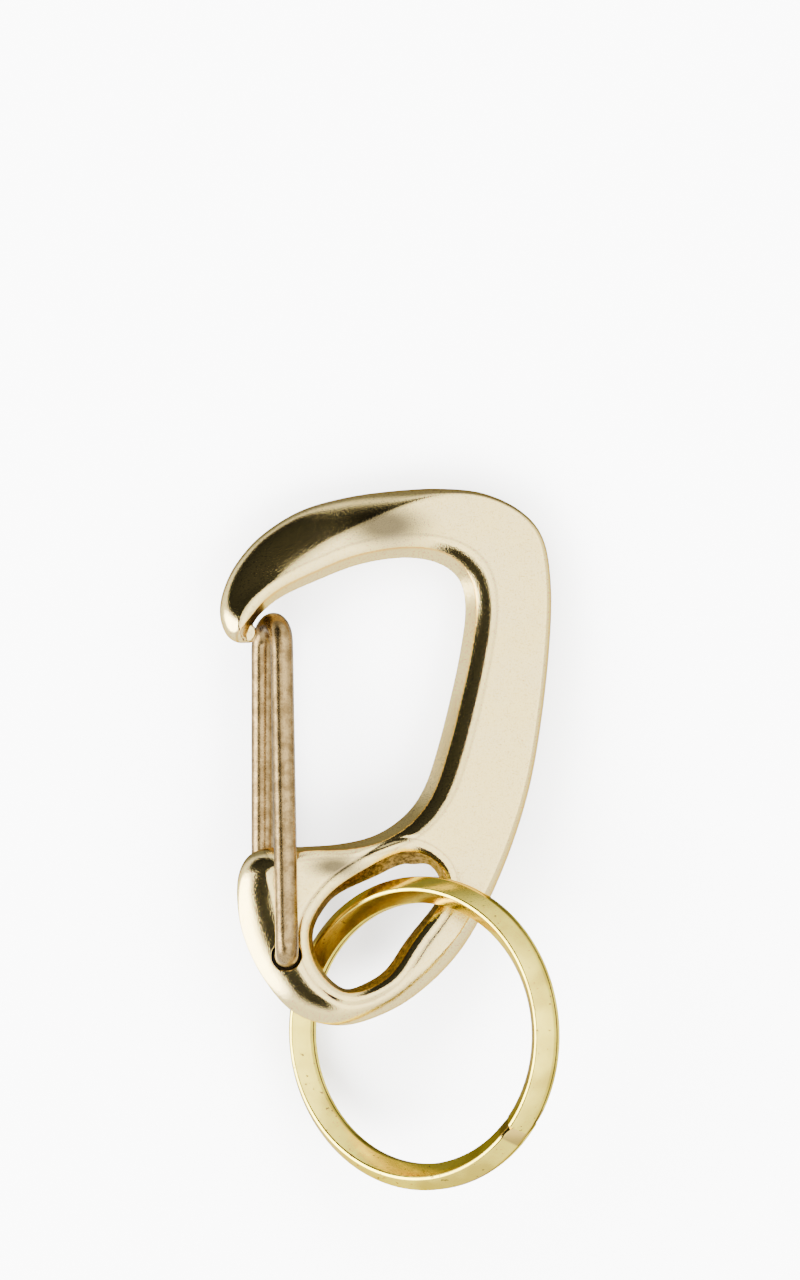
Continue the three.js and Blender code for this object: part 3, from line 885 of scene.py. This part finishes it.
def ring_brass():
    m = Tree("ring_brass")
    m.edge_tint(RING_EDGE_TINT)
    height, turn = m.attr("height"), m.attr("turn")
    cloud = m.noise(0.5, 3.0, 0.6)
    fine = m.noise(6.0, 3.0, 0.65)
    fleck = m.noise(2.4, 2.0, 0.5)
    olive = m.noise(0.16, 2.0, 0.5)
    tone = m.mix(m.ramp(cloud, 0.35, 0.7), RING_LIGHT, RING_WORN)
    tone = m.mix(m.ramp(fine, 0.55, 0.75, 0, 0.45), tone, RING_SPECK)
    tone = m.mix(m.ramp(olive, 0.48, 0.66, 0, 0.75), tone, RING_OLIVE)
    tone = m.mix(m.ramp(fleck, 0.67, 0.72, 0, 0.8), tone, RING_FLECK)
    # painted shade: a darker tone on the slope where the wire crosses over
    starts = m.ramp(turn, CROSS_AT - 0.6, CROSS_AT + 0.6)
    ends = m.ramp(turn, CROSS_AT + CROSS + 1.0, CROSS_AT + CROSS - 0.2)
    tone = m.mix(m.times(starts, ends), tone, RING_CROSSING_SHADE)
    # painted shade along the seam between the turns
    seam = m.ramp(m.size(height), 0.16, 0.07)
    tone = m.mix(m.times(seam, 0.9), tone, SEAM_SHADE)
    rough = m.ramp(cloud, 0.3, 0.7, 0.10, 0.18)
    return m.finish(tone, rough, m.bump(fine, RING_GRAIN, 0.7))


for o, mat in ((casting, polished_brass()), (gate, aged_wire()), (ring, ring_brass())):
    o.data.materials.append(mat)

# ------------------------------------------- floor
bpy.ops.mesh.primitive_plane_add(size=3.0, location=(0, 0, -0.00002))
floor = bpy.context.object
floor.name = "floor"
paper = Tree("floor")
paper.shader.inputs["Metallic"].default_value = 0.0
paper.shader.inputs["Specular IOR Level"].default_value = 0.0
paper.finish(paper.mix(paper.noise(0.02, 2.0, 0.5), *PAPER), 0.9)
floor.data.materials.append(paper.mat)
floor.visible_glossy = False  # the metal mirrors the sky only

# ------------------------------------------- sky
world = bpy.data.worlds.new("studio")
bpy.context.scene.world = world
world.use_nodes = True
world.cycles_visibility.diffuse = False
wt = world.node_tree
wt.nodes.clear()
w_out = wt.nodes.new("ShaderNodeOutputWorld")
w_bg = wt.nodes.new("ShaderNodeBackground")
w_tc = wt.nodes.new("ShaderNodeTexCoord")
wt.links.new(w_bg.outputs[0], w_out.inputs[0])


def sky_math(op, a, b=0.0, clamp=False):
    n = wt.nodes.new("ShaderNodeMath")
    n.operation = op
    n.use_clamp = clamp
    for i, v in enumerate((a, b)):
        if hasattr(v, "is_output"):
            wt.links.new(v, n.inputs[i])
        else:
            n.inputs[i].default_value = v
    return n.outputs[0]


def sky_times(a, b, clamp=False):
    return sky_math("MULTIPLY", a, b, clamp)


def sky_less(value):
    return sky_math("SUBTRACT", 1.0, value)


def sky_ramp(value, lo, hi):
    r = wt.nodes.new("ShaderNodeMapRange")
    r.interpolation_type = "SMOOTHSTEP"
    r.clamp = True
    wt.links.new(value, r.inputs[0])
    r.inputs[1].default_value = lo
    r.inputs[2].default_value = hi
    return r.outputs[0]


def direction(azimuth, zenith):
    return (
        math.sin(zenith * RAD) * math.cos(azimuth * RAD),
        math.sin(zenith * RAD) * math.sin(azimuth * RAD),
        math.cos(zenith * RAD),
    )


def along(azimuth, zenith):
    """Cosine of the angle between a sky point and a direction."""
    d = wt.nodes.new("ShaderNodeVectorMath")
    d.operation = "DOT_PRODUCT"
    d.inputs[1].default_value = direction(azimuth, zenith)
    wt.links.new(w_tc.outputs["Generated"], d.inputs[0])
    return d.outputs["Value"]


def toward(azimuth, zenith, inner, outer):
    """1 within `inner` degrees of a direction of the sky, falling to 0 at `outer`."""
    return sky_ramp(along(azimuth, zenith), math.cos(outer * RAD), math.cos(inner * RAD))


# what the metal mirrors: a softbox overhead with something grey at its edge, an unlit
# band of room beside it on the left, widest behind the hook, pale walls low down, one
# bright window low at the left, and a table that is shaded behind the part
overhead = toward(0, 0, 23, 31)
grey_edge = sky_times(toward(96, 21, 2, 9), 0.6)
band = sky_times(toward(0, 0, 53, 63), sky_ramp(along(176, 90), -0.05, 0.12))
room = sky_times(toward(132, 56, 27, 37), toward(0, 0, 76, 88))
dark = sky_times(sky_math("MAXIMUM", band, room), sky_less(overhead), True)
dark = sky_math("MAXIMUM", dark, grey_edge)
walls = sky_math("ADD", 2.0, sky_times(toward(0, 0, 30, 75), 2.2))
window = sky_times(toward(192, 76, 18, 28), 13.0)
level = sky_times(sky_less(sky_times(dark, 0.986)), sky_math("ADD", walls, window))
table = sky_less(sky_times(toward(105, 135, 30, 62), 0.85))
wt.links.new(sky_times(level, table), w_bg.inputs["Strength"])
w_bg.inputs["Color"].default_value = (1, 1, 1, 1)

# ------------------------------------------- light on the table
# soft slanting light from all round, strongest at the lower left, that the metal doesn't
# mirror
SUN_COUNT, SUN_SLANT, SUN_ANGLE, SUN_ENERGY = 6, 52, 46, 9.6
SUN_FIRST, SUN_STRONGEST, SUN_CHANGE = 15, 235, 0.4
for azimuth in range(SUN_FIRST, SUN_FIRST + 360, 360 // SUN_COUNT):
    sun_data = bpy.data.lights.new("sun_%03d" % azimuth, "SUN")
    sun_data.angle = SUN_ANGLE * RAD
    sun_data.energy = SUN_ENERGY * (1 + SUN_CHANGE * math.cos((azimuth - SUN_STRONGEST) * RAD))
    sun = bpy.data.objects.new(sun_data.name, sun_data)
    bpy.context.scene.collection.objects.link(sun)
    way = Vector(direction(azimuth, SUN_SLANT))
    sun.location = way * 0.5
    sun.rotation_euler = way.to_track_quat("Z", "Y").to_euler()
    sun.visible_glossy = False

# ------------------------------------------- camera, in metres
CENTRE_X, CENTRE_Y = 0.00229, 0.0019  # straight under the camera
MIDDLE_X, MIDDLE_Y = 0.00119, 0.0197  # middle of the framed area
CAM_H = 0.60
FRAME_H = 0.128  # height of the framed area
FOCUS_H = 0.006  # level at which it is measured
SENSOR = 36.0
cam_data = bpy.data.cameras.new("camera")
cam = bpy.data.objects.new("camera", cam_data)
bpy.context.scene.collection.objects.link(cam)
cam.location = (CENTRE_X, CENTRE_Y, CAM_H)
cam_data.sensor_width = SENSOR
cam_data.lens = SENSOR * (CAM_H - FOCUS_H) / FRAME_H
cam_data.shift_x = (MIDDLE_X - CENTRE_X) / FRAME_H
cam_data.shift_y = (MIDDLE_Y - CENTRE_Y) / FRAME_H
cam_data.clip_start = 0.01
cam_data.dof.use_dof = False
bpy.context.scene.camera = cam
